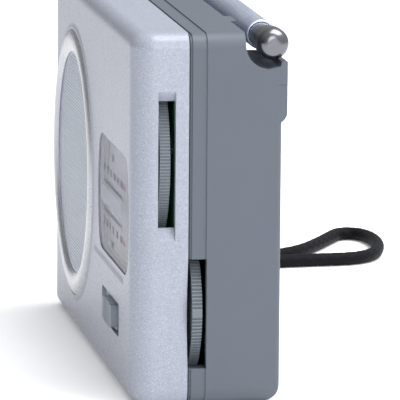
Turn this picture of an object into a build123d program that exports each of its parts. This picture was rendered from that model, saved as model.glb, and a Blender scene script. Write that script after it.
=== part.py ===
from build123d import *
import math
import os

os.makedirs("parts", exist_ok=True)

# Pocket AM/FM radio. Frame: origin at the centre of the bottom face, +X right as
# seen from the front, -Y towards the front, +Z up. Millimetres.
# "Depth" is the distance behind the front face.

# ---- driving dimensions -------------------------------------------------------
W, H, D = 110.0, 72.0, 28.8          # case width, height, depth
FRONT_Y = -D / 2                     # front face
SEAM = 10.8                          # depth of the joint between the two shells
WALL = 1.6
FRONT_R = 4.65                       # front vertical edges, seen from above
EDGE_R = 3.0                         # top and bottom edges
BACK_R = 1.0                         # edges of the back face
BACK_LOW_R = 4.2                     # lower back edge
BACK_IN = 26.9                       # depth of the back wall's inner side

SPK_X, SPK_Z = -25.0, 35.0           # speaker axis
RING_R, RING_IN, RING_PROUD = 27.4, 22.8, 0.8
SPK_HOLE_R = 24.6
GRILLE_R = 23.85

A_X, A_Z = 37.0, 46.8                # tuning wheel axis
TUNE_R = 18.0
MOD = 0.8                            # gear module
HUB_T, IDLER_T = 22, 12
HUB_PR, IDLER_PR = MOD * HUB_T / 2, MOD * IDLER_T / 2
B_X = A_X + (HUB_PR + IDLER_PR) * math.cos(math.radians(165))
B_Z = A_Z + (HUB_PR + IDLER_PR) * math.sin(math.radians(165))
PITCH = math.pi * MOD
RACK_Z = B_Z + IDLER_PR              # rack pitch line
POINTER_X = 41.0
NOTCH_LIP = 66.4                     # top of the lip behind the finger notch

V_X, V_Z = 41.6, 17.9                # volume wheel axis
VOL_R = 13.5

ANT_Z, ANT_D = 69.7, 27.2            # antenna axis: height and depth
SWIVEL_X = -46.0
GROOVE_D = 21.7                      # depth of the groove's front wall
BAND_D = 29.8                        # raised band on the back
BAND_LOW, BAND_TOP = 54.6, 66.6

CASE_SCREWS = [(-40.5, 60.0), (50.4, 61.8), (50.4, 4.6), (8.6, 4.6)]
BOARD_SCREWS = [(7.0, 62.0), (7.0, 12.5), (49.4, 15.0)]
CORD_D = 2.9


def at(depth):
    """Plane facing the front, with X across and Z up, at a depth behind the front face."""
    return Plane(origin=(0, FRONT_Y + depth, 0), x_dir=(1, 0, 0), z_dir=(0, -1, 0))


def y(depth):
    return FRONT_Y + depth


def case_block(inset, d0, d1, z1=None):
    """The case's outer form, inset all round, from depth d0 to d1."""
    w, top = W / 2 - inset, (H - inset if z1 is None else z1)
    r, e = FRONT_R - inset, EDGE_R - inset
    with BuildPart() as blk:
        with BuildSketch(Plane.XY.offset(inset)):
            with BuildLine():
                Polyline((-w, y(d1)), (-w, y(d0) + r))
                RadiusArc((-w, y(d0) + r), (-w + r, y(d0)), -r)
                Line((-w + r, y(d0)), (w - r, y(d0)))
                RadiusArc((w - r, y(d0)), (w, y(d0) + r), -r)
                Polyline((w, y(d0) + r), (w, y(d1)), (-w, y(d1)))
            make_face()
        extrude(amount=top - inset)
        rim = [
            e_
            for g in (blk.edges().group_by(Axis.Z)[0], blk.edges().group_by(Axis.Z)[-1])
            for e_ in g
            if abs(e_.center().Y - y(d1)) > 0.01
        ]
        fillet(rim, radius=e)
    return blk.part


def plain_block(inset, d0, d1):
    """The same outline without the rounded front: used behind the seam."""
    w = W / 2 - inset
    with BuildPart() as blk:
        with BuildSketch(at(d0)):
            with Locations((0, H / 2)):
                RectangleRounded(2 * w, H - 2 * inset, EDGE_R - inset)
        extrude(amount=-(d1 - d0))
    return blk.part


def gear_points(teeth, pr, phase_deg, add=0.68, ded=0.95, half=0.42):
    """Outline of a small moulded gear with a tooth centred on phase_deg."""
    pts = []
    for i in range(teeth):
        c = math.radians(phase_deg) + i * 2 * math.pi / teeth
        for r, h in ((pr - ded, -(half + 0.2)), (pr, -half), (pr + add, -(half - 0.2)),
                     (pr + add, half - 0.2), (pr, half), (pr - ded, half + 0.2)):
            a = c + h / r
            pts.append((r * math.cos(a), r * math.sin(a)))
    return pts


def knurl_points(r, n, cut, land=None):
    """A rim with n flutes; land is an arc in degrees that is left plain."""
    pts = []
    for i in range(n):
        a0 = 2 * math.pi * i / n
        step = 2 * math.pi / n
        deg = (math.degrees(a0) + 180) % 360 - 180
        low = r if land and land[0] <= deg <= land[1] else r - cut
        for f, rr in ((0.0, r), (0.42, r), (0.56, low), (0.86, low)):
            a = a0 + f * step
            pts.append((rr * math.cos(a), rr * math.sin(a)))
    return pts


def window_outline(inset):
    """Dial window: flat top and bottom, bowed sides, rounded corners."""
    x0, x1, z0, z1 = 11.8 + inset, 48.0 - inset, 24.0 + inset, 47.2 - inset
    zm, bow = 35.6, 2.5
    with BuildSketch(mode=Mode.PRIVATE) as sk:
        with BuildLine():
            Line((x0, z0), (x1, z0))
            ThreePointArc((x1, z0), (x1 + bow, zm), (x1, z1))
            Line((x1, z1), (x0, z1))
            ThreePointArc((x0, z1), (x0 - bow, zm), (x0, z0))
        make_face()
        fillet(sk.vertices(), radius=5.0 - inset)
    return sk.sketch


outer_front = case_block(0, 0, SEAM)
inner_front = case_block(WALL, WALL, SEAM + 1)
outer_back = plain_block(0, SEAM, D)
window_full = window_outline(0)
window_lens = window_outline(0.2)
window_open = window_outline(1.3)

# ---- front shell --------------------------------------------------------------
with BuildPart() as front_shell:
    add(outer_front)
    add(inner_front, mode=Mode.SUBTRACT)
    # speaker opening
    with BuildSketch(at(-1)):
        with Locations((SPK_X, SPK_Z)):
            Circle(SPK_HOLE_R)
    extrude(amount=-(WALL + 1.5), mode=Mode.SUBTRACT)
    # low raised surround outside the speaker ring
    with BuildSketch(Plane(origin=(SPK_X, 0, SPK_Z), x_dir=(1, 0, 0), z_dir=(0, 0, 1))):
        with BuildLine():
            Polyline((RING_R + 0.04, y(0.3)), (RING_R + 0.04, y(-0.22)), (RING_R + 0.3, y(-0.22)), (RING_R + 1.3, y(0.01)),
                     (RING_R + 1.3, y(0.3)), (RING_R + 0.04, y(0.3)))
        make_face()
    revolve(axis=Axis((SPK_X, 0, SPK_Z), (0, 1, 0)), revolution_arc=360)
    # dial window: recess for the lens and the opening behind it
    with BuildSketch(at(-0.5)):
        add(window_full)
    extrude(amount=-1.6, mode=Mode.SUBTRACT)
    with BuildSketch(at(0.5)):
        add(window_open)
    extrude(amount=-1.6, mode=Mode.SUBTRACT)
    # band switch recess, and the slot the knob's stem slides in
    with BuildSketch(at(-0.5)):
        with Locations((26.45, 13.55)):
            RectangleRounded(22.5, 6.5, 0.9)
    extrude(amount=-1.4, mode=Mode.SUBTRACT)
    with BuildSketch(at(0.5)):
        with Locations((26.9, 13.6)):
            SlotOverall(9.6, 2.0)
    extrude(amount=-1.6, mode=Mode.SUBTRACT)
    # tuning wheel slot in the right wall, with sloped ends
    with BuildSketch(at(4.9)):
        with BuildLine():
            Polyline((55.4, 32.0), (55.4, 61.2), (55.0, 61.0), (53.2, 58.7), (53.2, 34.9), (55.0, 32.2), (55.4, 32.0))
        make_face()
    extrude(amount=-3.35, mode=Mode.SUBTRACT)
    # thumb scoop beside the volume wheel
    with Locations((W / 2 + 46.0, y(8.87) + 28.8, 18.0)):
        Sphere(54.27, mode=Mode.SUBTRACT)
    # bosses: board, case screws, dial plate stakes
    with BuildSketch(at(WALL - 0.2)):
        with Locations(*BOARD_SCREWS):
            Circle(1.9)
    extrude(amount=-(8.4 - WALL + 0.2))
    with BuildSketch(at(WALL - 0.2)):
        with Locations(*CASE_SCREWS):
            Circle(2.0)
    extrude(amount=-(SEAM - WALL + 0.2))
    with BuildSketch(at(WALL - 0.2)):
        with Locations((10.6, 50.9), (49.2, 50.9), (13.0, 21.9), (46.5, 21.9)):
            Circle(1.1)
    extrude(amount=-(2.4 - WALL + 0.2))
    # rib that guides the top of the pointer rack
    with BuildSketch(at(WALL - 0.2)):
        with Locations((24.0, 59.1)):
            Rectangle(40.0, 0.9)
    extrude(amount=-(3.9 - WALL + 0.2))
    # screw holes
    with BuildSketch(at(8.4)):
        with Locations(*BOARD_SCREWS):
            Circle(0.82)
    extrude(amount=5.4, mode=Mode.SUBTRACT)
    with BuildSketch(at(SEAM)):
        with Locations(*CASE_SCREWS):
            Circle(0.92)
    extrude(amount=7.8, mode=Mode.SUBTRACT)
front_shell.part.label = "front_shell"
export_step(front_shell.part, "parts/front_shell.step")

# ---- back shell ---------------------------------------------------------------
with BuildPart() as back_shell:
    add(outer_back)
    back_edges = back_shell.faces().sort_by(Axis.Y)[-1].edges()
    fillet(back_edges, radius=BACK_R)
    # larger rounding along the lower back edge
    with BuildSketch(Plane(origin=(-W / 2 - 1, 0, 0), x_dir=(0, 1, 0), z_dir=(1, 0, 0))):
        with BuildLine():
            Line((y(D) - BACK_LOW_R, 0), (y(D) - BACK_LOW_R, -1))
            Polyline((y(D) - BACK_LOW_R, -1), (y(D) + 1, -1), (y(D) + 1, BACK_LOW_R), (y(D), BACK_LOW_R))
            RadiusArc((y(D), BACK_LOW_R), (y(D) - BACK_LOW_R, 0), BACK_LOW_R)
        make_face()
    extrude(amount=W + 2, mode=Mode.SUBTRACT)
    # raised band along the top of the back, under the antenna
    with BuildSketch(Plane(origin=(-W / 2 + 0.1, 0, 0), x_dir=(0, 1, 0), z_dir=(1, 0, 0))):
        with BuildLine():
            Polyline((y(D) - 2.0, BAND_LOW), (y(D) - 0.4, BAND_LOW))
            ThreePointArc((y(D) - 0.4, BAND_LOW), (y(BAND_D) - 0.35, BAND_LOW + 0.9), (y(BAND_D), BAND_LOW + 2.4))
            Polyline((y(BAND_D), BAND_LOW + 2.4), (y(BAND_D), BAND_TOP), (y(D) - 2.0, BAND_TOP), (y(D) - 2.0, BAND_LOW))
        make_face()
    extrude(amount=W - 0.2)
    # hollow: full height in front of the antenna groove, lower behind it
    with BuildSketch(at(SEAM - 1)):
        with Locations((0, H / 2)):
            RectangleRounded(W - 2 * WALL, H - 2 * WALL, EDGE_R - WALL)
    extrude(amount=-(20.1 - SEAM + 1), mode=Mode.SUBTRACT)
    with BuildSketch(at(20.0)):
        with Locations((0, (WALL + 60.6) / 2)):
            RectangleRounded(W - 2 * WALL, 60.6 - WALL, EDGE_R - WALL)
    extrude(amount=-(BACK_IN - 20.0), mode=Mode.SUBTRACT)
    # shadow gap and stepped lip beside the seam
    for depth, length, inset in ((SEAM - 0.1, 0.4, 0.95), (SEAM + 0.2, 0.5, 0.5), (SEAM + 0.6, 2.9, 0.22)):
        with BuildSketch(at(depth)):
            with Locations((0, H / 2)):
                RectangleRounded(W + 4, H + 4, 1)
                RectangleRounded(W - 2 * inset, H - 2 * inset, EDGE_R - inset, mode=Mode.SUBTRACT)
        extrude(amount=-length, mode=Mode.SUBTRACT)
    # antenna groove, open at the top and the back
    with BuildSketch(Plane(origin=(-W / 2 - 1, 0, 0), x_dir=(0, 1, 0), z_dir=(1, 0, 0))):
        with BuildLine():
            Polyline((y(31), 74), (y(31), 63.6), (y(GROOVE_D) + 1.6, 63.6))
            RadiusArc((y(GROOVE_D) + 1.6, 63.6), (y(GROOVE_D), 65.2), 1.6)
            Polyline((y(GROOVE_D), 65.2), (y(GROOVE_D), 74), (y(31), 74))
        make_face()
    extrude(amount=W + 2, mode=Mode.SUBTRACT)
    # the groove is deeper between the shelf and the rib
    with BuildSketch(Plane(origin=(-38.2, 0, 0), x_dir=(0, 1, 0), z_dir=(1, 0, 0))):
        with BuildLine():
            Polyline((y(31), 66), (y(31), 62.1), (y(GROOVE_D) + 1.6, 62.1))
            RadiusArc((y(GROOVE_D) + 1.6, 62.1), (y(GROOVE_D), 63.7), 1.6)
            Polyline((y(GROOVE_D), 63.7), (y(GROOVE_D), 66), (y(31), 66))
        make_face()
    extrude(amount=38.2 + 38.5, mode=Mode.SUBTRACT)
    # shelf under the swivel, rib under the outer tube's end, finger notch
    with BuildSketch(Plane(origin=(-W / 2, 0, 0), x_dir=(0, 1, 0), z_dir=(1, 0, 0))):
        with Locations(((y(GROOVE_D) - 0.5 + y(BAND_D)) / 2, 64.6)):
            Rectangle(BAND_D - GROOVE_D + 0.5, 4.0)
    extrude(amount=17.0)
    with BuildSketch(Plane(origin=(38.3, 0, 0), x_dir=(0, 1, 0), z_dir=(1, 0, 0))):
        with Locations(((y(GROOVE_D) - 0.5 + y(BAND_D)) / 2, 64.25)):
            Rectangle(BAND_D - GROOVE_D + 0.5, 4.5)
    extrude(amount=4.0)
    with BuildSketch(Plane(origin=(42.3, 0, 0), x_dir=(0, 1, 0), z_dir=(1, 0, 0))):
        with BuildLine():
            Polyline((y(GROOVE_D) - 0.5, 62.0), (y(BAND_D), 62.0), (y(BAND_D), NOTCH_LIP), (y(BAND_D) - 1.1, NOTCH_LIP),
                     (y(BAND_D) - 1.4, 65.5), (y(26.1), 65.0))
            ThreePointArc((y(26.1), 65.0), (y(23.2), 66.3), (y(GROOVE_D), 69.6))
            Polyline((y(GROOVE_D), 69.6), (y(GROOVE_D) - 0.5, 69.6), (y(GROOVE_D) - 0.5, 62.0))
        make_face()
    extrude(amount=W / 2 - 42.3)
    # cradle nub on the groove's front edge
    with BuildSketch(Plane.XY.offset(69.2)):
        with Locations((32.3, y(GROOVE_D) + 0.5)):
            RectangleRounded(7.5, 2.0, 0.8)
    extrude(amount=2.7)
    # solid boss for the antenna swivel
    with BuildSketch(Plane.XY.offset(BAND_LOW + 1.0)):
        with Locations((SWIVEL_X, (y(22.6) + y(BAND_D) - 1.0) / 2)):
            Rectangle(7.6, BAND_D - 1.0 - 22.6)
    extrude(amount=BAND_TOP - BAND_LOW - 1.2)
    # battery bay walls
    with BuildSketch(at(11.3)):
        with Locations(((-W / 2 + 1 + 5.2) / 2, (1 + 34.2) / 2)):
            Rectangle(5.2 + W / 2 - 1, 34.2 - 1)
    extrude(amount=-1.0)
    with BuildSketch(at(12.0)):
        with Locations((4.6, 17.6)):
            Rectangle(1.2, 33.2)
        with Locations(((-W / 2 + 1 + 5.2) / 2, 34.05)):
            Rectangle(5.2 + W / 2 - 1, 1.1)
    extrude(amount=-(BACK_IN + 0.4 - 12.0))
    # battery door opening with a rail groove along each long side
    with BuildSketch(at(BACK_IN - 0.5)):
        with Locations(((-W / 2 - 2 + 4.0) / 2, 19.25)):
            Rectangle(W / 2 + 6.0, 28.5)
    extrude(amount=-4, mode=Mode.SUBTRACT)
    with BuildSketch(at(27.2)):
        with Locations(((-W / 2 - 2 + 4.0) / 2, 19.25)):
            Rectangle(W / 2 + 6.0, 30.6)
    extrude(amount=-0.8, mode=Mode.SUBTRACT)
    # posts for the case screws, with deep counterbores
    with BuildSketch(at(SEAM)):
        with Locations(*CASE_SCREWS):
            Circle(2.4)
    extrude(amount=-(BACK_IN + 0.3 - SEAM))
    with BuildSketch(at(SEAM - 0.5)):
        with Locations(*CASE_SCREWS):
            Circle(1.05)
    extrude(amount=-22, mode=Mode.SUBTRACT)
    with BuildSketch(at(14.5)):
        with Locations(*CASE_SCREWS):
            Circle(1.65)
    extrude(amount=-18, mode=Mode.SUBTRACT)
    # volume wheel slot in the right wall
    with BuildSketch(at(SEAM - 0.5)):
        with Locations((53.5, (7.2 + 28.5) / 2)):
            Rectangle(6.0, 21.3)
    extrude(amount=-(14.4 - SEAM + 0.5), mode=Mode.SUBTRACT)
    # antenna swivel bore
    with BuildSketch(Plane.XY.offset(57.6)):
        with Locations((SWIVEL_X, y(ANT_D))):
            Circle(1.66)
    extrude(amount=12, mode=Mode.SUBTRACT)
    # earphone jack hole in the left wall
    with BuildSketch(Plane(origin=(-W / 2 - 1, 0, 0), x_dir=(0, 1, 0), z_dir=(1, 0, 0))):
        with Locations((y(15.8), 48.0)):
            Circle(2.55)
    extrude(amount=4, mode=Mode.SUBTRACT)
    # strap lug: a tab on the left wall with an upright hole
    with BuildSketch(Plane.XY.offset(2.2)):
        with Locations((-W / 2 - 1.1, y(15.8))):
            RectangleRounded(4.6, 4.4, 1.5)
        with Locations((-57.0, y(15.8))):
            Circle(0.8, mode=Mode.SUBTRACT)
    extrude(amount=1.2)
back_shell.part.label = "back_shell"
export_step(back_shell.part, "parts/back_shell.step")

# ---- battery door -------------------------------------------------------------
with BuildPart() as battery_door:
    with BuildSketch(at(27.0)):
        with Locations(((-54.6 + 3.85) / 2, 19.25)):
            Rectangle(54.6 + 3.85, 28.3)
    extrude(amount=-1.75)
    with BuildSketch(at(27.3)):
        with Locations(((-54.6 + 3.85) / 2, 19.25)):
            Rectangle(54.6 + 3.85, 30.3)
    extrude(amount=-0.6)
    # grip ribs
    with BuildSketch(at(28.7)):
        with GridLocations(1.6, 0, 6, 1):
            with Locations((-44.0, 19.25)):
                RectangleRounded(0.8, 12.0, 0.35)
    extrude(amount=-0.35)
battery_door.part.label = "battery_door"
export_step(battery_door.part, "parts/battery_door.step")

# ---- speaker ring, grille, gasket ---------------------------------------------
with BuildPart() as speaker_ring:
    with BuildSketch(Plane(origin=(SPK_X, 0, SPK_Z), x_dir=(1, 0, 0), z_dir=(0, 0, 1))):
        with BuildLine():
            Polyline((RING_IN, y(0.08)), (RING_IN, y(-0.15)))
            ThreePointArc((RING_IN, y(-0.15)), ((RING_IN + RING_R) / 2 - 0.5, y(-RING_PROUD)), (RING_R, y(-0.12)))
            Polyline((RING_R, y(-0.12)), (RING_R, y(0)), (24.5, y(0)), (24.5, y(1.6)), (23.95, y(1.6)),
                     (23.95, y(0.08)), (RING_IN, y(0.08)))
        make_face()
    revolve(axis=Axis((SPK_X, 0, SPK_Z), (0, 1, 0)), revolution_arc=360)
speaker_ring.part.label = "speaker_ring"
export_step(speaker_ring.part, "parts/speaker_ring.step")

grille_holes = []
for i in range(-11, 12):
    for j in range(-12, 13):
        gx = (i + (j % 2) * 0.5) * 2.3
        gz = j * 2.3 * math.sqrt(3) / 2
        if math.hypot(gx, gz) < 21.6:
            grille_holes.append((SPK_X + gx, SPK_Z + gz))
with BuildPart() as speaker_grille:
    with BuildSketch(at(0.1)):
        with Locations((SPK_X, SPK_Z)):
            Circle(GRILLE_R)
        with Locations(*grille_holes):
            Circle(0.55, mode=Mode.SUBTRACT)
    extrude(amount=-0.4)
speaker_grille.part.label = "speaker_grille"
export_step(speaker_grille.part, "parts/speaker_grille.step")

with BuildPart() as speaker_gasket:
    with BuildSketch(at(0.5)):
        with Locations((SPK_X, SPK_Z)):
            Circle(23.85)
            Circle(22.3, mode=Mode.SUBTRACT)
    extrude(amount=-1.3)
speaker_gasket.part.label = "speaker_gasket"
export_step(speaker_gasket.part, "parts/speaker_gasket.step")

# ---- speaker ------------------------------------------------------------------
with BuildPart() as speaker_frame:
    with BuildSketch(Plane(origin=(SPK_X, 0, SPK_Z), x_dir=(1, 0, 0), z_dir=(0, 0, 1))):
        with BuildLine():
            Polyline((21.8, y(1.8)), (25.2, y(1.8)), (25.2, y(2.5)), (22.6, y(2.5)), (22.6, y(4.2)), (15.2, y(7.8)),
                     (15.2, y(8.2)), (7.3, y(8.2)), (7.3, y(7.6)), (14.5, y(7.6)), (14.5, y(7.3)), (21.8, y(3.8)), (21.8, y(1.8)))
        make_face()
    revolve(axis=Axis((SPK_X, 0, SPK_Z), (0, 1, 0)), revolution_arc=360)
    with BuildSketch(at(3.1)):
        with Locations((SPK_X, SPK_Z)):
            with PolarLocations(18.2, 6):
                RectangleRounded(3.6, 11.0, 1.2)
    extrude(amount=-3.6, mode=Mode.SUBTRACT)
speaker_frame.part.label = "speaker_frame"
export_step(speaker_frame.part, "parts/speaker_frame.step")

with BuildPart() as speaker_magnet:
    with BuildSketch(at(8.2)):
        with Locations((SPK_X, SPK_Z)):
            Circle(14.0)
    extrude(amount=-2.7)
    with BuildSketch(at(8.2)):
        with Locations((SPK_X, SPK_Z)):
            Circle(7.2)
            Circle(5.9, mode=Mode.SUBTRACT)
    extrude(amount=-2.2, mode=Mode.SUBTRACT)
speaker_magnet.part.label = "speaker_magnet"
export_step(speaker_magnet.part, "parts/speaker_magnet.step")

with BuildPart() as speaker_cone:
    with BuildSketch(Plane(origin=(SPK_X, 0, SPK_Z), x_dir=(1, 0, 0), z_dir=(0, 0, 1))):
        with BuildLine():
            Polyline((0, y(4.4)), (3.4, y(4.75)), (6.7, y(5.9)), (19.0, y(2.6)), (20.0, y(2.25)), (21.2, y(2.6)),
                     (21.2, y(2.9)), (20.0, y(2.6)), (19.2, y(2.95)), (6.8, y(6.35)), (6.8, y(9.0)), (6.3, y(9.0)),
                     (6.3, y(6.3)), (3.2, y(5.2)), (0, y(4.85)), (0, y(4.4)))
        make_face()
    revolve(axis=Axis((SPK_X, 0, SPK_Z), (0, 1, 0)), revolution_arc=360)
speaker_cone.part.label = "speaker_cone"
export_step(speaker_cone.part, "parts/speaker_cone.step")

# ---- dial window, dial plate, pointer, gears ----------------------------------
with BuildPart() as dial_window:
    with BuildSketch(at(0.2)):
        add(window_lens)
    extrude(amount=-0.9)
dial_window.part.label = "dial_window"
export_step(dial_window.part, "parts/dial_window.step")

with BuildPart() as dial_plate:
    with BuildSketch(at(2.4)):
        with Locations((30.0, (20.4 + 53.4) / 2)):
            RectangleRounded(42.6, 53.4 - 20.4, 1.5)
    extrude(amount=-0.5)
    with BuildSketch(at(2.3)):
        with Locations((B_X, B_Z)):
            Circle(1.0)
    extrude(amount=-1.0, mode=Mode.SUBTRACT)
dial_plate.part.label = "dial_plate"
export_step(dial_plate.part, "parts/dial_plate.step")

with BuildPart() as idler_pin:
    with BuildSketch(at(2.4)):
        with Locations((B_X, B_Z)):
            Circle(0.99)
    extrude(amount=-2.7)
idler_pin.part.label = "idler_pin"
export_step(idler_pin.part, "parts/idler_pin.step")

with BuildPart() as idler_gear:
    with BuildSketch(at(3.05)):
        with Locations((B_X, B_Z)):
            Polygon(*gear_points(IDLER_T, IDLER_PR, 90), align=None)
            Circle(1.05, mode=Mode.SUBTRACT)
    extrude(amount=-1.9)
idler_gear.part.label = "idler_gear"
export_step(idler_gear.part, "parts/idler_gear.step")

# rack: teeth point down; a gap is centred over the idler at rest
rack_l, rack_r = 17.6, 50.6
tooth_xs = []
k = -4
while True:
    tx = B_X + (k + 0.5) * PITCH
    if tx > rack_r - 0.7:
        break
    if tx > rack_l + 0.7:
        tooth_xs.append(tx)
    k += 1
with BuildPart() as pointer_rack:
    with BuildSketch(at(3.05)):
        with BuildLine():
            pts = [(rack_l, 58.3), (rack_l, RACK_Z + 0.95)]
            for tx in tooth_xs:
                pts += [(tx - 0.62, RACK_Z + 0.95), (tx - 0.22, RACK_Z - 0.68), (tx + 0.22, RACK_Z - 0.68), (tx + 0.62, RACK_Z + 0.95)]
            pts += [(rack_r, RACK_Z + 0.95), (rack_r, 58.3), (rack_l, 58.3)]
            Polyline(*pts)
        make_face()
    extrude(amount=-0.85)
    # link forward over the dial plate, and the pointer hanging in front of it
    with BuildSketch(at(1.8)):
        with Locations((POINTER_X, 57.1)):
            Rectangle(5.0, 2.2)
    extrude(amount=-1.5)
    with BuildSketch(at(1.8)):
        with BuildLine():
            Polyline((POINTER_X - 2.5, 58.2), (POINTER_X - 2.5, 56.0), (POINTER_X - 0.45, 52.0), (POINTER_X - 0.3, 25.6),
                     (POINTER_X + 0.3, 25.6), (POINTER_X + 0.45, 52.0), (POINTER_X + 2.5, 56.0), (POINTER_X + 2.5, 58.2),
                     (POINTER_X - 2.5, 58.2))
        make_face()
    extrude(amount=-0.45)
pointer_rack.part.label = "pointer_rack"
export_step(pointer_rack.part, "parts/pointer_rack.step")

with BuildPart() as tuning_wheel:
    with BuildSketch(at(5.2)):
        with Locations((A_X, A_Z)):
            Polygon(*knurl_points(TUNE_R, 180, 0.2), align=None)
    extrude(amount=-2.05)
    with BuildSketch(at(5.25)):
        with Locations((A_X, A_Z)):
            Circle(15.6)
            Circle(9.8, mode=Mode.SUBTRACT)
    extrude(amount=0.3, mode=Mode.SUBTRACT)
    with BuildSketch(at(7.25)):
        with Locations((A_X, A_Z)):
            Circle(15.6)
            Circle(4.0, mode=Mode.SUBTRACT)
    extrude(amount=0.7, mode=Mode.SUBTRACT)
    with BuildSketch(at(4.15)):
        with Locations((A_X, A_Z)):
            Polygon(*gear_points(HUB_T, HUB_PR, 165), align=None)
    extrude(amount=-1.1)
    with BuildSketch(at(4.0)):
        with Locations((A_X, A_Z)):
            Circle(1.5)
    extrude(amount=-5, mode=Mode.SUBTRACT)
tuning_wheel.part.label = "tuning_wheel"
export_step(tuning_wheel.part, "parts/tuning_wheel.step")

with BuildPart() as tuning_shaft:
    with BuildSketch(at(4.2)):
        with Locations((A_X, A_Z)):
            Circle(1.49)
    extrude(amount=-7.9)
    with BuildSketch(at(4.0)):
        with Locations((A_X, A_Z)):
            Circle(0.8)
    extrude(amount=-4.2, mode=Mode.SUBTRACT)
tuning_shaft.part.label = "tuning_shaft"
export_step(tuning_shaft.part, "parts/tuning_shaft.step")

with BuildPart() as tuning_screw:
    with BuildSketch(at(3.25)):
        with Locations((A_X, A_Z)):
            Circle(2.4)
    extrude(amount=-0.9)
    with BuildSketch(at(4.1)):
        with Locations((A_X, A_Z)):
            Circle(0.78)
    extrude(amount=-3.8)
    with BuildSketch(at(3.2)):
        with Locations((A_X, A_Z)):
            Rectangle(3.2, 0.6)
            Rectangle(0.6, 3.2)
    extrude(amount=-0.45, mode=Mode.SUBTRACT)
tuning_screw.part.label = "tuning_screw"
export_step(tuning_screw.part, "parts/tuning_screw.step")

with BuildPart() as tuning_capacitor:
    with BuildSketch(at(10.0)):
        with Locations((A_X, A_Z)):
            RectangleRounded(20.0, 20.0, 1.2)
    extrude(amount=-8.5)
    with BuildSketch(at(9.5)):
        with Locations((A_X, A_Z)):
            Circle(1.55)
    extrude(amount=-3.2, mode=Mode.SUBTRACT)
tuning_capacitor.part.label = "tuning_capacitor"
export_step(tuning_capacitor.part, "parts/tuning_capacitor.step")

# ---- volume control -----------------------------------------------------------
with BuildPart() as volume_wheel:
    with BuildSketch(at(11.65)):
        with Locations((V_X, V_Z)):
            Polygon(*knurl_points(VOL_R, 120, 0.28, (-4.0, 0.5)), align=None)
    extrude(amount=-1.95)
    with BuildSketch(at(10.5)):
        with Locations((V_X, V_Z)):
            Circle(2.4)
    extrude(amount=-1.3)
    with BuildSketch(at(13.6)):
        with Locations((V_X, V_Z)):
            Circle(11.0)
            Circle(4.0, mode=Mode.SUBTRACT)
    extrude(amount=0.6, mode=Mode.SUBTRACT)
    with BuildSketch(at(10.0)):
        with Locations((V_X, V_Z)):
            Circle(0.82)
    extrude(amount=-4, mode=Mode.SUBTRACT)
volume_wheel.part.label = "volume_wheel"
export_step(volume_wheel.part, "parts/volume_wheel.step")

with BuildPart() as volume_screw:
    with BuildSketch(at(13.6)):
        with Locations((V_X, V_Z)):
            Circle(2.1)
    extrude(amount=-0.9)
    with BuildSketch(at(13.7)):
        with Locations((V_X, V_Z)):
            Circle(0.8)
    extrude(amount=3.0)
    with BuildSketch(at(14.55)):
        with Locations((V_X, V_Z)):
            Rectangle(2.9, 0.55)
            Rectangle(0.55, 2.9)
    extrude(amount=0.5, mode=Mode.SUBTRACT)
volume_screw.part.label = "volume_screw"
export_step(volume_screw.part, "parts/volume_screw.step")

with BuildPart() as volume_pot:
    with BuildSketch(at(10.0)):
        with Locations((V_X, V_Z)):
            Circle(6.2)
    extrude(amount=-1.35)
    with BuildSketch(at(10.2)):
        with Locations((V_X, V_Z)):
            Circle(2.48)
    extrude(amount=-2, mode=Mode.SUBTRACT)
volume_pot.part.label = "volume_pot"
export_step(volume_pot.part, "parts/volume_pot.step")

# ---- band switch --------------------------------------------------------------
with BuildPart() as switch_knob:
    with BuildSketch(at(0.3)):
        with Locations((27.4, 13.6)):
            RectangleRounded(12.4, 5.6, 1.1)
    extrude(amount=-0.6)
    with BuildSketch(at(0.35)):
        with Locations((27.4, 13.6)):
            with GridLocations(1.7, 0, 5, 1):
                RectangleRounded(0.95, 5.0, 0.4)
        with Locations((32.6, 13.6), (22.2, 13.6)):
            RectangleRounded(1.6, 4.4, 0.6)
    extrude(amount=1.3)
    with BuildSketch(at(0.7)):
        with Locations((29.2, 13.6)):
            RectangleRounded(4.0, 1.6, 0.3)
    extrude(amount=-4.3)
switch_knob.part.label = "switch_knob"
export_step(switch_knob.part, "parts/switch_knob.step")

with BuildPart() as switch_body:
    with BuildSketch(at(4.2)):
        with Locations((27.2, 13.6)):
            Rectangle(15.0, 6.4)
    extrude(amount=-4.2)
    with BuildSketch(at(4.0)):
        with Locations((27.2, 13.6)):
            Rectangle(9.6, 2.4)
    extrude(amount=-2.0, mode=Mode.SUBTRACT)
switch_body.part.label = "switch_body"
export_step(switch_body.part, "parts/switch_body.step")

# ---- circuit board and what it carries ----------------------------------------
with BuildPart() as circuit_board:
    with BuildSketch(at(8.4)):
        with Locations((27.6, 36.9)):
            Rectangle(49.2, 59.4)
        with Locations((A_X, A_Z)):
            Circle(3.0, mode=Mode.SUBTRACT)
        with Locations(*BOARD_SCREWS):
            Circle(1.0, mode=Mode.SUBTRACT)
        with Locations(CASE_SCREWS[1]):
            Circle(2.4, mode=Mode.SUBTRACT)
    extrude(amount=-1.6)
circuit_board.part.label = "circuit_board"
export_step(circuit_board.part, "parts/circuit_board.step")

with BuildPart() as board_screws:
    with BuildSketch(at(10.0)):
        with Locations(*BOARD_SCREWS):
            Circle(1.7)
    extrude(amount=-1.1)
    with BuildSketch(at(10.2)):
        with Locations(*BOARD_SCREWS):
            Circle(0.8)
    extrude(amount=6.0)
    with BuildSketch(at(11.15)):
        with Locations(*BOARD_SCREWS):
            Rectangle(2.4, 0.5)
            Rectangle(0.5, 2.4)
    extrude(amount=0.5, mode=Mode.SUBTRACT)
board_screws.part.label = "board_screws"
export_step(board_screws.part, "parts/board_screws.step")

with BuildPart() as tuner_chip:
    with BuildSketch(at(10.0)):
        with Locations((19.0, 31.0)):
            Rectangle(7.4, 17.0)
    extrude(amount=-1.6)
tuner_chip.part.label = "tuner_chip"
export_step(tuner_chip.part, "parts/tuner_chip.step")

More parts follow.
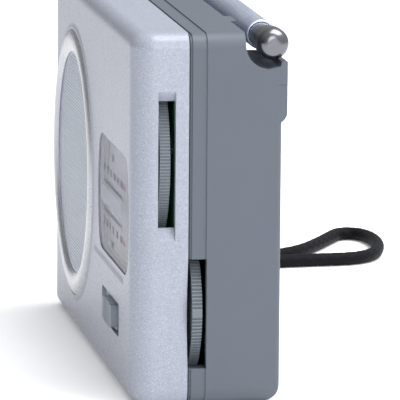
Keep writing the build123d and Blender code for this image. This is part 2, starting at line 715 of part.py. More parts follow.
with BuildPart() as tuned_coils:
    with BuildSketch(at(10.0)):
        with Locations((10.0, 44.0), (19.0, 45.5), (10.0, 54.0), (20.0, 56.0)):
            RectangleRounded(6.6, 6.6, 0.5)
    extrude(amount=-8.0)
    with BuildSketch(at(18.1)):
        with Locations((10.0, 44.0), (19.0, 45.5), (10.0, 54.0), (20.0, 56.0)):
            Circle(1.6)
    extrude(amount=1.0, mode=Mode.SUBTRACT)
tuned_coils.part.label = "tuned_coils"
export_step(tuned_coils.part, "parts/tuned_coils.step")

with BuildPart() as electrolytics:
    with BuildSketch(at(10.0)):
        with Locations((10.5, 33.5), (10.5, 24.5), (22.5, 15.0)):
            Circle(2.9)
    extrude(amount=-9.0)
    chamfer(electrolytics.edges().group_by(Axis.Y)[-1], length=0.4)
electrolytics.part.label = "electrolytics"
export_step(electrolytics.part, "parts/electrolytics.step")

with BuildPart() as ferrite_rod:
    with BuildSketch(Plane(origin=(-30.0, 0, 0), x_dir=(0, 1, 0), z_dir=(1, 0, 0))):
        with Locations((y(15.6), 65.6)):
            RectangleRounded(4.0, 7.6, 1.2)
    extrude(amount=62.0)
ferrite_rod.part.label = "ferrite_rod"
export_step(ferrite_rod.part, "parts/ferrite_rod.step")

with BuildPart() as ferrite_coil:
    with BuildSketch(Plane(origin=(-12.0, 0, 0), x_dir=(0, 1, 0), z_dir=(1, 0, 0))):
        with Locations((y(15.6), 65.6)):
            RectangleRounded(5.2, 8.8, 1.6)
            RectangleRounded(4.04, 7.64, 1.2, mode=Mode.SUBTRACT)
    extrude(amount=22.0)
ferrite_coil.part.label = "ferrite_coil"
export_step(ferrite_coil.part, "parts/ferrite_coil.step")

with BuildPart() as headphone_jack:
    with BuildSketch(Plane(origin=(-W / 2 + WALL + 0.05, 0, 0), x_dir=(0, 1, 0), z_dir=(1, 0, 0))):
        with Locations((y(15.8), 48.0)):
            Rectangle(6.0, 6.4)
    extrude(amount=11.0)
    with BuildSketch(Plane(origin=(-W / 2 + 0.1, 0, 0), x_dir=(0, 1, 0), z_dir=(1, 0, 0))):
        with Locations((y(15.8), 48.0)):
            Circle(2.5)
    extrude(amount=2.0)
    with BuildSketch(Plane(origin=(-W / 2, 0, 0), x_dir=(0, 1, 0), z_dir=(1, 0, 0))):
        with Locations((y(15.8), 48.0)):
            Circle(1.8)
    extrude(amount=12.0, mode=Mode.SUBTRACT)
headphone_jack.part.label = "headphone_jack"
export_step(headphone_jack.part, "parts/headphone_jack.step")

# ---- batteries and contacts ---------------------------------------------------
CELL_D, CELL_LO, CELL_HI = 19.6, 10.6, 25.4
with BuildPart() as aa_cell_lower:
    with BuildSketch(Plane(origin=(-51.6, y(CELL_D), CELL_LO), x_dir=(0, 1, 0), z_dir=(1, 0, 0))):
        Circle(7.1)
    extrude(amount=48.9)
    chamfer(aa_cell_lower.edges().filter_by(GeomType.CIRCLE), length=0.5)
    with BuildSketch(Plane(origin=(-52.8, y(CELL_D), CELL_LO), x_dir=(0, 1, 0), z_dir=(1, 0, 0))):
        Circle(2.7)
    extrude(amount=1.4)
aa_cell_lower.part.label = "aa_cell_lower"
export_step(aa_cell_lower.part, "parts/aa_cell_lower.step")

with BuildPart() as aa_cell_upper:
    with BuildSketch(Plane(origin=(-46.6, y(CELL_D), CELL_HI), x_dir=(0, 1, 0), z_dir=(1, 0, 0))):
        Circle(7.1)
    extrude(amount=48.9)
    chamfer(aa_cell_upper.edges().filter_by(GeomType.CIRCLE), length=0.5)
    with BuildSketch(Plane(origin=(2.2, y(CELL_D), CELL_HI), x_dir=(0, 1, 0), z_dir=(1, 0, 0))):
        Circle(2.7)
    extrude(amount=1.3)
aa_cell_upper.part.label = "aa_cell_upper"
export_step(aa_cell_upper.part, "parts/aa_cell_upper.step")

with BuildPart() as battery_link:
    with BuildSketch(Plane(origin=(-53.3, y(CELL_D), 18.0), x_dir=(0, 1, 0), z_dir=(1, 0, 0))):
        RectangleRounded(10.0, 26.0, 1.0)
    extrude(amount=0.4)
battery_link.part.label = "battery_link"
export_step(battery_link.part, "parts/battery_link.step")

with BuildPart() as battery_contacts:
    with BuildSketch(Plane(origin=(3.55, y(CELL_D), 18.0), x_dir=(0, 1, 0), z_dir=(1, 0, 0))):
        with Locations((0, -7.4), (0, 7.4)):
            RectangleRounded(9.0, 10.0, 1.0)
    extrude(amount=0.4)
battery_contacts.part.label = "battery_contacts"
export_step(battery_contacts.part, "parts/battery_contacts.step")


def spring(x0, x1, z):
    """Conical contact spring along X."""
    with BuildPart() as sp:
        with BuildLine() as ln:
            Helix(pitch=abs(x1 - x0) / 3.0, height=abs(x1 - x0), radius=3.6, center=(x0, y(CELL_D), z),
                  direction=(1 if x1 > x0 else -1, 0, 0), cone_angle=8)
        with BuildSketch(Plane(origin=ln.line @ 0, z_dir=ln.line % 0)):
            Circle(0.3)
        sweep(path=ln.line, is_frenet=True)
    return sp.part


spring_a = spring(3.2, -2.3, CELL_LO)
spring_b = spring(-52.5, -47.0, CELL_HI)
with BuildPart() as battery_springs:
    add(spring_a)
    add(spring_b)
battery_springs.part.label = "battery_springs"
export_step(battery_springs.part, "parts/battery_springs.step")

# ---- telescopic antenna -------------------------------------------------------
with BuildPart() as antenna_swivel:
    with BuildSketch(Plane.XY.offset(57.8)):
        with Locations((SWIVEL_X, y(ANT_D))):
            Circle(1.6)
    extrude(amount=9.0)
    with BuildSketch(Plane.XY.offset(BAND_TOP + 0.1)):
        with Locations((SWIVEL_X, y(ANT_D))):
            Circle(2.9)
    extrude(amount=0.8)
    with BuildSketch(at(ANT_D - 2.6)):
        with Locations((SWIVEL_X, ANT_Z)):
            Circle(2.55)
        with Locations((SWIVEL_X, (ANT_Z + 67.3) / 2)):
            Rectangle(4.2, ANT_Z - 67.3)
    extrude(amount=-5.2)
    # slot for the tongue, then the pin hole
    with BuildSketch(at(ANT_D - 1.2)):
        with Locations((SWIVEL_X, 71.5)):
            Rectangle(8.0, 8.0)
    extrude(amount=-2.4, mode=Mode.SUBTRACT)
    with BuildSketch(at(ANT_D - 3.5)):
        with Locations((SWIVEL_X, ANT_Z)):
            Circle(0.9)
    extrude(amount=-7.0, mode=Mode.SUBTRACT)
antenna_swivel.part.label = "antenna_swivel"
export_step(antenna_swivel.part, "parts/antenna_swivel.step")

with BuildPart() as antenna_pin:
    with BuildSketch(at(ANT_D - 2.75)):
        with Locations((SWIVEL_X, ANT_Z)):
            Circle(0.89)
    extrude(amount=-5.5)
antenna_pin.part.label = "antenna_pin"
export_step(antenna_pin.part, "parts/antenna_pin.step")

with BuildPart() as antenna_knuckle:
    with BuildSketch(at(ANT_D - 1.1)):
        with Locations((SWIVEL_X, ANT_Z)):
            Circle(2.15)
        with Locations(((SWIVEL_X - 41.6) / 2, ANT_Z)):
            Rectangle(abs(SWIVEL_X + 41.6), 3.6)
    extrude(amount=-2.2)
    with BuildSketch(Plane(origin=(-42.4, y(ANT_D), ANT_Z), x_dir=(0, 1, 0), z_dir=(1, 0, 0))):
        Circle(2.48)
    extrude(amount=5.4)
    with BuildSketch(at(ANT_D - 2)):
        with Locations((SWIVEL_X, ANT_Z)):
            Circle(0.96)
    extrude(amount=-4, mode=Mode.SUBTRACT)
antenna_knuckle.part.label = "antenna_knuckle"
export_step(antenna_knuckle.part, "parts/antenna_knuckle.step")


def tube(x0, x1, ro, ri):
    with BuildPart() as tb:
        with BuildSketch(Plane(origin=(x0, y(ANT_D), ANT_Z), x_dir=(0, 1, 0), z_dir=(1, 0, 0))):
            Circle(ro)
            Circle(ri, mode=Mode.SUBTRACT)
        extrude(amount=x1 - x0)
        fillet(tb.edges().filter_by(GeomType.CIRCLE).group_by(Axis.X)[-1].sort_by(SortBy.RADIUS)[-1], radius=0.34)
    return tb.part


tube_1 = tube(-42.2, 40.0, 2.9, 2.5)
tube_2 = tube(-36.5, 45.4, 2.4, 2.0)
tube_3 = tube(-36.0, 46.4, 1.9, 1.5)
with BuildPart() as antenna_tube_outer:
    add(tube_1)
antenna_tube_outer.part.label = "antenna_tube_outer"
export_step(antenna_tube_outer.part, "parts/antenna_tube_outer.step")
with BuildPart() as antenna_tube_middle:
    add(tube_2)
antenna_tube_middle.part.label = "antenna_tube_middle"
export_step(antenna_tube_middle.part, "parts/antenna_tube_middle.step")
with BuildPart() as antenna_tube_inner:
    add(tube_3)
antenna_tube_inner.part.label = "antenna_tube_inner"
export_step(antenna_tube_inner.part, "parts/antenna_tube_inner.step")

with BuildPart() as antenna_rod:
    with BuildSketch(Plane(origin=(-35.5, y(ANT_D), ANT_Z), x_dir=(0, 1, 0), z_dir=(1, 0, 0))):
        Circle(1.4)
    extrude(amount=87.0)
antenna_rod.part.label = "antenna_rod"
export_step(antenna_rod.part, "parts/antenna_rod.step")

with BuildPart() as antenna_tip:
    with BuildSketch(Plane(origin=(49.9, y(ANT_D), ANT_Z), x_dir=(0, 1, 0), z_dir=(1, 0, 0))):
        Circle(3.08)
    extrude(amount=5.1)
    fillet(antenna_tip.edges().filter_by(GeomType.CIRCLE).group_by(Axis.X)[-1], radius=2.2)
    fillet(antenna_tip.edges().filter_by(GeomType.CIRCLE).group_by(Axis.X)[0], radius=0.3)
    with BuildSketch(Plane(origin=(46.7, y(ANT_D), ANT_Z), x_dir=(0, 1, 0), z_dir=(1, 0, 0))):
        Circle(2.72)
    extrude(amount=3.4)
    with BuildSketch(Plane(origin=(46.0, y(ANT_D), ANT_Z), x_dir=(0, 1, 0), z_dir=(1, 0, 0))):
        Circle(1.42)
    extrude(amount=5.52, mode=Mode.SUBTRACT)
antenna_tip.part.label = "antenna_tip"
export_step(antenna_tip.part, "parts/antenna_tip.step")

# ---- case screws --------------------------------------------------------------
with BuildPart() as case_screws:
    with BuildSketch(at(14.5)):
        with Locations(*CASE_SCREWS):
            Circle(1.55)
    extrude(amount=-1.4)
    with BuildSketch(at(14.6)):
        with Locations(*CASE_SCREWS):
            Circle(0.9)
    extrude(amount=10.8)
    with BuildSketch(at(15.95)):
        with Locations(*CASE_SCREWS):
            Rectangle(2.2, 0.5)
            Rectangle(0.5, 2.2)
    extrude(amount=0.6, mode=Mode.SUBTRACT)
case_screws.part.label = "case_screws"
export_step(case_screws.part, "parts/case_screws.step")

# ---- wrist strap: ring, ferrule and a doubled cord lying on the ground --------
STRAP_D = 15.8
with BuildPart() as strap_ring:
    with BuildSketch(Plane(origin=(-57.0 - 2.2, y(STRAP_D), 2.75), x_dir=(1, 0, 0), z_dir=(0, 0, 1))):
        with Locations((2.2, 0)):
            Circle(0.45)
    revolve(axis=Axis((-59.2, y(STRAP_D), 2.75), (0, 1, 0)), revolution_arc=360)
strap_ring.part.label = "strap_ring"
export_step(strap_ring.part, "parts/strap_ring.step")

with BuildPart() as strap_ferrule:
    with BuildSketch(Plane(origin=(-70.2, y(STRAP_D), 1.65), x_dir=(0, 1, 0), z_dir=(1, 0, 0))):
        SlotOverall(7.4, 3.24)
    extrude(amount=7.8)
    with BuildSketch(Plane.XY.offset(2.0)):
        with Locations((-61.9, y(STRAP_D))):
            RectangleRounded(3.0, 3.0, 0.9)
        with Locations((-61.4, y(STRAP_D))):
            Circle(0.75, mode=Mode.SUBTRACT)
    extrude(amount=1.0)
strap_ferrule.part.label = "strap_ferrule"
export_step(strap_ferrule.part, "parts/strap_ferrule.step")

# route of the cord as (X, depth), at the height of its centre line
CORD_Z = 1.5
ROUTE = [
    (-70.2, STRAP_D + 1.68), (-75.2, STRAP_D + 1.68), (-80.8, 22.6), (-84.6, 31.6), (-87.2, 42.0), (-89.3, 53.0),
    (-90.2, 64.0), (-90.6, 72.0), (-94.6, 77.0), (-101.6, 79.7), (-110.0, 81.2), (-117.6, 80.9), (-122.5, 78.9),
    (-123.0, 74.6), (-117.8, 71.7), (-110.2, 67.6), (-101.3, 61.9), (-95.6, 54.4), (-93.0, 45.6), (-91.0, 35.8),
    (-88.4, 26.4), (-84.0, 18.6), (-77.4, STRAP_D - 1.68), (-70.2, STRAP_D - 1.68),
]
route = [Vector(px, y(pd), CORD_Z) for px, pd in ROUTE]
runs = [(b - a).length for a, b in zip(route, route[1:])]
radii = []
for a, b, c in zip(route, route[1:], route[2:]):
    turn = math.radians((b - a).get_angle(c - b))
    radii.append(0.45 * min((b - a).length, (c - b).length) / math.tan(turn / 2))
print("cord runs", [round(r, 1) for r in runs])
print("cord radii", [round(r, 1) for r in radii])
with BuildPart() as strap_cord:
    with BuildLine() as cord_path:
        FilletPolyline(*route, radius=radii)
    with BuildSketch(Plane(origin=cord_path.line @ 0, z_dir=cord_path.line % 0)):
        Circle(CORD_D / 2)
    sweep(path=cord_path.line)
cord_len = sum(e_.length for e_ in cord_path.line.edges())
print("cord length", round(cord_len, 2), "volume", round(strap_cord.part.volume, 1),
      "section x length", round(math.pi * CORD_D**2 / 4 * cord_len, 1))
strap_cord.part.label = "strap_cord"
export_step(strap_cord.part, "parts/strap_cord.step")
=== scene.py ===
import bpy
import bmesh
import math
from mathutils import Vector, Matrix


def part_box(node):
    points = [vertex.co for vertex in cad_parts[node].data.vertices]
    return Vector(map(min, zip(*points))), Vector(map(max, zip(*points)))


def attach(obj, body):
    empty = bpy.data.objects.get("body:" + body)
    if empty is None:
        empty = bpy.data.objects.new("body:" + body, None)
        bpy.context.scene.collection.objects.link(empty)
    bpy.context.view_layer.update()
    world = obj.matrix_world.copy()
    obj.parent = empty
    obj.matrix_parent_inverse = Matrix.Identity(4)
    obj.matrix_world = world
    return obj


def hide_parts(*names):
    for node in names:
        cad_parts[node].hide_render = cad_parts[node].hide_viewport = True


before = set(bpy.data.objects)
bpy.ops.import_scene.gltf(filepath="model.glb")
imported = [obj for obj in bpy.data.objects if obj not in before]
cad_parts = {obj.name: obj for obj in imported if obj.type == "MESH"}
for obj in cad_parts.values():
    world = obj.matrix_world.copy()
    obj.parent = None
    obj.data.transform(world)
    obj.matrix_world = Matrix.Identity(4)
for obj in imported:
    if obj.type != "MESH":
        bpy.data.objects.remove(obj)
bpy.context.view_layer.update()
scene = bpy.context.scene
scene.view_settings.view_transform = "Standard"
scene.view_settings.look = "None"

DEPTH0 = -0.0144          # y of the front face


def yd(d_mm):
    return DEPTH0 + d_mm / 1000.0


# ------------------------------------------------------------------ camera
AZ, EL, ROLL = math.radians(80.540), math.radians(9.4921), math.radians(0.4088)
back = Vector((math.sin(AZ) * math.cos(EL), -math.cos(AZ) * math.cos(EL), math.sin(EL)))
fwd = -back
right = fwd.cross(Vector((0, 0, 1))).normalized()
up = right.cross(fwd)
R = math.cos(ROLL) * right + math.sin(ROLL) * up
U = -math.sin(ROLL) * right + math.cos(ROLL) * up
cam_data = bpy.data.cameras.new("camera")
cam_data.lens = 452.63
cam_data.sensor_width = 36.0
cam_data.clip_start = 0.05
cam_data.clip_end = 20.0
cam = bpy.data.objects.new("camera", cam_data)
scene.collection.objects.link(cam)
M = Matrix(((R.x, U.x, back.x, 0.98864), (R.y, U.y, back.y, -0.15697), (R.z, U.z, back.z, 0.19832), (0, 0, 0, 1)))
cam.matrix_world = M
scene.camera = cam

# ------------------------------------------------------------------ wrist cord
CORD_R = 0.00145
ROUTE = [
    (-70.2, 17.48), (-75.2, 17.48), (-80.8, 22.6), (-84.6, 31.6), (-87.2, 42.0), (-89.3, 53.0),
    (-90.2, 64.0), (-90.6, 72.0), (-94.6, 77.0), (-101.6, 79.7), (-110.0, 81.2), (-117.6, 80.9), (-122.5, 78.9),
    (-123.0, 74.6), (-117.8, 71.7), (-110.2, 67.6), (-101.3, 61.9), (-95.6, 54.4), (-93.0, 45.6), (-91.0, 35.8),
    (-88.4, 26.4), (-84.0, 18.6), (-77.4, 14.12), (-70.2, 14.12),
]
cu = bpy.data.curves.new("cord_route", "CURVE")
cu.dimensions = "3D"
cu.resolution_u = 10
sp = cu.splines.new("NURBS")
sp.points.add(len(ROUTE) - 1)
for p, (rx, rd) in zip(sp.points, ROUTE):
    p.co = (rx / 1000.0, yd(rd), 0.0015, 1.0)
sp.order_u = 3
sp.use_endpoint_u = True
route_obj = bpy.data.objects.new("cord_route", cu)
scene.collection.objects.link(route_obj)
bpy.context.view_layer.update()
line_mesh = bpy.data.meshes.new_from_object(route_obj)
line = [v.co.copy() for v in line_mesh.vertices]
bpy.data.objects.remove(route_obj)


def resample(pts, step):
    out = [pts[0].copy()]
    acc = 0.0
    for a, b in zip(pts, pts[1:]):
        seg = (b - a).length
        if seg < 1e-9:
            continue
        t = step - acc
        while t < seg:
            out.append(a.lerp(b, t / seg))
            t += step
        acc = seg - (t - step)
    if (out[-1] - pts[-1]).length > step * 0.4:
        out.append(pts[-1].copy())
    else:
        out[-1] = pts[-1].copy()
    return out


cord_line = resample(line, 0.00022)


def braided_tube(name, pts, r, strands=8, pitch=0.0062, amp=0.00013, seg=40):
    """A tube whose surface is raised into over-and-under braided strands."""
    me = bpy.data.meshes.new(name)
    verts, faces = [], []
    n = len(pts)
    s = 0.0
    for i, p in enumerate(pts):
        if i:
            s += (p - pts[i - 1]).length
        t = (pts[min(i + 1, n - 1)] - pts[max(i - 1, 0)]).normalized()
        side = t.cross(Vector((0, 0, 1))).normalized()
        upv = side.cross(t)
        for k in range(seg):
            th = 2 * math.pi * k / seg
            u = strands / 2 * (th / (2 * math.pi)) + s / pitch * (strands / 4)
            v = strands / 2 * (th / (2 * math.pi)) - s / pitch * (strands / 4)
            ru = abs(math.cos(math.pi * u))
            rv = abs(math.cos(math.pi * v))
            over = 1 if (math.floor(u + 0.5) + math.floor(v + 0.5)) % 2 == 0 else 0
            h = (ru ** 0.6) if over else (rv ** 0.6)
            rr = r - amp + amp * h
            d = side * math.cos(th) + upv * math.sin(th)
            verts.append(p + d * rr)
    for i in range(n - 1):
        for k in range(seg):
            a = i * seg + k
            b = i * seg + (k + 1) % seg
            faces.append((a, b, b + seg, a + seg))
    faces.append(tuple(range(seg - 1, -1, -1)))
    faces.append(tuple((n - 1) * seg + k for k in range(seg)))
    me.from_pydata([v[:] for v in verts], [], faces)
    uv = me.uv_layers.new(name="UVMap")
    for poly in me.polygons:
        poly.use_smooth = len(poly.vertices) == 4
    me.update()
    o = bpy.data.objects.new(name, me)
    scene.collection.objects.link(o)
    return o


wrist_cord = braided_tube("wrist_cord", cord_line, CORD_R)
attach(wrist_cord, "case")
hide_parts("strap_cord")


# ------------------------------------------------------------------ materials
def new_mat(name):
    m = bpy.data.materials.new(name)
    m.use_nodes = True
    nt = m.node_tree
    return m, nt, nt.nodes["Principled BSDF"]


def link(nt, a, b):
    nt.links.new(a, b)


def coords(nt):
    n = nt.nodes.new("ShaderNodeTexCoord")
    return n.outputs["Object"]


def noise(nt, scale, detail=3.0, rough=0.55, co=None):
    n = nt.nodes.new("ShaderNodeTexNoise")
    n.inputs["Scale"].default_value = scale
    n.inputs["Detail"].default_value = detail
    n.inputs["Roughness"].default_value = rough
    link(nt, co if co is not None else coords(nt), n.inputs["Vector"])
    return n.outputs["Fac"]


def voronoi(nt, scale, co=None):
    n = nt.nodes.new("ShaderNodeTexVoronoi")
    n.inputs["Scale"].default_value = scale
    link(nt, co if co is not None else coords(nt), n.inputs["Vector"])
    return n


def ramp(nt, fac, stops):
    n = nt.nodes.new("ShaderNodeValToRGB")
    el = n.color_ramp.elements
    while len(el) > len(stops):
        el.remove(el[-1])
    while len(el) < len(stops):
        el.new(0.5)
    for e, (p, c) in zip(el, stops):
        e.position = p
        e.color = (*c, 1.0) if len(c) == 3 else c
    link(nt, fac, n.inputs["Fac"])
    return n.outputs["Color"]


def rng(nt, fac, a, b, lo=0.3, hi=0.7):
    n = nt.nodes.new("ShaderNodeMapRange")
    n.inputs["From Min"].default_value = lo
    n.inputs["From Max"].default_value = hi
    n.inputs["To Min"].default_value = a
    n.inputs["To Max"].default_value = b
    link(nt, fac, n.inputs["Value"])
    return n.outputs["Result"]


def mixc(nt, fac, a, b, mode="MIX"):
    n = nt.nodes.new("ShaderNodeMix")
    n.data_type = "RGBA"
    n.blend_type = mode
    for s, v in ((n.inputs[6], a), (n.inputs[7], b)):
        if isinstance(v, tuple):
            s.default_value = (*v, 1.0) if len(v) == 3 else v
        else:
            link(nt, v, s)
    if isinstance(fac, (int, float)):
        n.inputs[0].default_value = fac
    else:
        link(nt, fac, n.inputs[0])
    return n.outputs[2]


def bump(nt, height, strength, dist, normal=None):
    n = nt.nodes.new("ShaderNodeBump")
    n.inputs["Strength"].default_value = strength
    n.inputs["Distance"].default_value = dist
    link(nt, height, n.inputs["Height"])
    if normal is not None:
        link(nt, normal, n.inputs["Normal"])
    return n.outputs["Normal"]


def bevel(nt, radius):
    n = nt.nodes.new("ShaderNodeBevel")
    n.samples = 4
    n.inputs["Radius"].default_value = radius
    return n.outputs["Normal"]


def lin(c):
    """sRGB 0-255 to linear."""
    out = []
    for v in c:
        v /= 255.0
        out.append(v / 12.92 if v <= 0.04045 else ((v + 0.055) / 1.055) ** 2.4)
    return tuple(out)


def scale_c(c, k):
    return tuple(min(1.0, v * k) for v in c)


def surface(name, base, rough, metallic=0.0, var=0.06, var_scale=220.0, rvar=0.06, bump_scale=3200.0, bump_s=0.15,
            bump_d=0.00003, bevel_r=0.0, coat=0.0, sheen=0.0, spec=0.5, detail=3.0):
    """General procedural surface: cloudy colour variation, uneven gloss, fine grain bump."""
    m, nt, b = new_mat(name)
    co = coords(nt)
    big = noise(nt, var_scale, detail, 0.6, co)
    fine = noise(nt, bump_scale, 2.0, 0.6, co)
    col = ramp(nt, big, [(0.3, scale_c(base, 1 - var)), (0.7, scale_c(base, 1 + var))])
    col2 = ramp(nt, fine, [(0.3, (0.93, 0.93, 0.93)), (0.7, (1.0, 1.0, 1.0))])
    link(nt, mixc(nt, 1.0, col, col2, "MULTIPLY"), b.inputs["Base Color"])
    link(nt, rng(nt, big, max(0.02, rough - rvar), min(1.0, rough + rvar)), b.inputs["Roughness"])
    b.inputs["Metallic"].default_value = metallic
    b.inputs["Specular IOR Level"].default_value = spec
    nrm = bevel(nt, bevel_r) if bevel_r else None
    link(nt, bump(nt, fine, bump_s, bump_d, nrm), b.inputs["Normal"])
    if coat:
        b.inputs["Coat Weight"].default_value = coat
        b.inputs["Coat Roughness"].default_value = 0.12
    if sheen:
        b.inputs["Sheen Weight"].default_value = sheen
    return m


SILVER = lin((158, 162, 174))
G = lin((84, 91, 101))


def silver_paint():
    """Sprayed silver: fine flakes that catch the light one by one, under a satin surface."""
    m, nt, b = new_mat("silver_paint")
    co = coords(nt)
    cloud = noise(nt, 90.0, 3.0, 0.6, co)
    flake = voronoi(nt, 5200.0, co)
    sep = nt.nodes.new("ShaderNodeSeparateColor")
    link(nt, flake.outputs["Color"], sep.inputs[0])
    base = SILVER
    c1 = ramp(nt, cloud, [(0.3, scale_c(base, 0.975)), (0.7, scale_c(base, 1.02))])
    c2 = ramp(nt, sep.outputs[0], [(0.0, (0.84, 0.84, 0.85)), (0.5, (0.94, 0.94, 0.95)), (0.9, (1.0, 1.0, 1.0)), (1.0, (1.16, 1.16, 1.18))])
    link(nt, mixc(nt, 1.0, c1, c2, "MULTIPLY"), b.inputs["Base Color"])
    link(nt, rng(nt, sep.outputs[2], 0.06, 0.20, 0.0, 1.0), b.inputs["Metallic"])
    link(nt, rng(nt, sep.outputs[1], 0.27, 0.42, 0.0, 1.0), b.inputs["Roughness"])
    b.inputs["Specular IOR Level"].default_value = 0.12
    fine = noise(nt, 4600.0, 2.0, 0.6, co)
    link(nt, bump(nt, fine, 0.30, 0.00003, bevel(nt, 0.00022)), b.inputs["Normal"])
    return m


def lens_mat():
    """Smoked clear plastic: mostly see-through, with a faint haze and soft scratches."""
    m, nt, b = new_mat("dial_lens")
    co = coords(nt)
    smear = noise(nt, 260.0, 4.0, 0.6, co)
    link(nt, ramp(nt, smear, [(0.3, lin((140, 144, 158))), (0.7, lin((152, 156, 170)))]), b.inputs["Base Color"])
    link(nt, rng(nt, smear, 0.10, 0.20), b.inputs["Roughness"])
    b.inputs["Alpha"].default_value = 0.38
    b.inputs["Specular IOR Level"].default_value = 0.12
    fine = noise(nt, 1400.0, 2.0, 0.5, co)
    link(nt, bump(nt, fine, 0.05, 0.00002), b.inputs["Normal"])
    return m


def brushed(name, base, rough, axis="x", scale=900.0, metallic=1.0, bump_s=0.12, var=0.05, bevel_r=0.0, stretch=40.0):
    """Metal with fine lines: drawn along an axis, or turned round it."""
    m, nt, b = new_mat(name)
    tc = nt.nodes.new("ShaderNodeTexCoord")
    mp = nt.nodes.new("ShaderNodeMapping")
    link(nt, tc.outputs["Object"], mp.inputs["Vector"])
    sc = {"x": (1.0 / stretch, 1, 1), "y": (1, 1.0 / stretch, 1), "z": (1, 1, 1.0 / stretch), "turned_x": (1, 1.0 / stretch, 1.0 / stretch), "none": (1, 1, 1)}[axis]
    mp.inputs["Scale"].default_value = sc
    lines = noise(nt, scale * 3.0, 3.0, 0.6, mp.outputs["Vector"])
    cloud = noise(nt, 160.0, 3.0, 0.6, tc.outputs["Object"])
    c1 = ramp(nt, cloud, [(0.3, scale_c(base, 1 - var)), (0.7, scale_c(base, 1 + var))])
    c2 = ramp(nt, lines, [(0.25, (0.86, 0.86, 0.87)), (0.75, (1.0, 1.0, 1.0))])
    link(nt, mixc(nt, 1.0, c1, c2, "MULTIPLY"), b.inputs["Base Color"])
    link(nt, rng(nt, lines, max(0.03, rough - 0.07), rough + 0.08), b.inputs["Roughness"])
    b.inputs["Metallic"].default_value = metallic
    nrm = bevel(nt, bevel_r) if bevel_r else None
    link(nt, bump(nt, lines, bump_s, 0.00002, nrm), b.inputs["Normal"])
    return m


def dial_card_mat():
    """Satin gray printed card."""
    m, nt, b = new_mat("dial_card")
    co = coords(nt)
    n = noise(nt, 2600.0, 2.0, 0.6, co)
    big = noise(nt, 120.0, 2.0, 0.6, co)
    c = ramp(nt, big, [(0.3, lin((150, 155, 169))), (0.7, lin((157, 162, 176)))])
    link(nt, mixc(nt, 1.0, c, ramp(nt, n, [(0.3, (0.94, 0.94, 0.94)), (0.7, (1, 1, 1))]), "MULTIPLY"), b.inputs["Base Color"])
    link(nt, rng(nt, n, 0.45, 0.6), b.inputs["Roughness"])
    b.inputs["Specular IOR Level"].default_value = 0.2
    link(nt, bump(nt, n, 0.08, 0.00002), b.inputs["Normal"])
    return m


def board_mat():
    m, nt, b = new_mat("solder_mask")
    co = coords(nt)
    v = voronoi(nt, 420.0, co)
    v.distance = "MANHATTAN"
    tr = ramp(nt, v.outputs["Distance"], [(0.0, (0.02, 0.20, 0.08)), (0.45, (0.015, 0.13, 0.055)), (0.5, (0.05, 0.36, 0.16)), (0.56, (0.015, 0.13, 0.055))])
    link(nt, tr, b.inputs["Base Color"])
    n = noise(nt, 900.0, 2.0, 0.6, co)
    link(nt, rng(nt, n, 0.25, 0.38), b.inputs["Roughness"])
    link(nt, bump(nt, v.outputs["Distance"], 0.25, 0.00005), b.inputs["Normal"])
    return m


def braid_mat():
    m, nt, b = new_mat("nylon_braid")
    co = coords(nt)
    fib = noise(nt, 5200.0, 3.0, 0.65, co)
    cloud = noise(nt, 300.0, 2.0, 0.6, co)
    c1 = ramp(nt, fib, [(0.3, lin((3, 3, 6))), (0.7, lin((15, 15, 22)))])
    c2 = ramp(nt, cloud, [(0.3, (0.85, 0.85, 0.88)), (0.7, (1.0, 1.0, 1.0))])
    link(nt, mixc(nt, 1.0, c1, c2, "MULTIPLY"), b.inputs["Base Color"])
    link(nt, rng(nt, fib, 0.55, 0.78), b.inputs["Roughness"])
    b.inputs["Sheen Weight"].default_value = 0.03
    b.inputs["Sheen Roughness"].default_value = 0.4
    b.inputs["Specular IOR Level"].default_value = 0.14
    link(nt, bump(nt, fib, 0.4, 0.00006), b.inputs["Normal"])
    return m


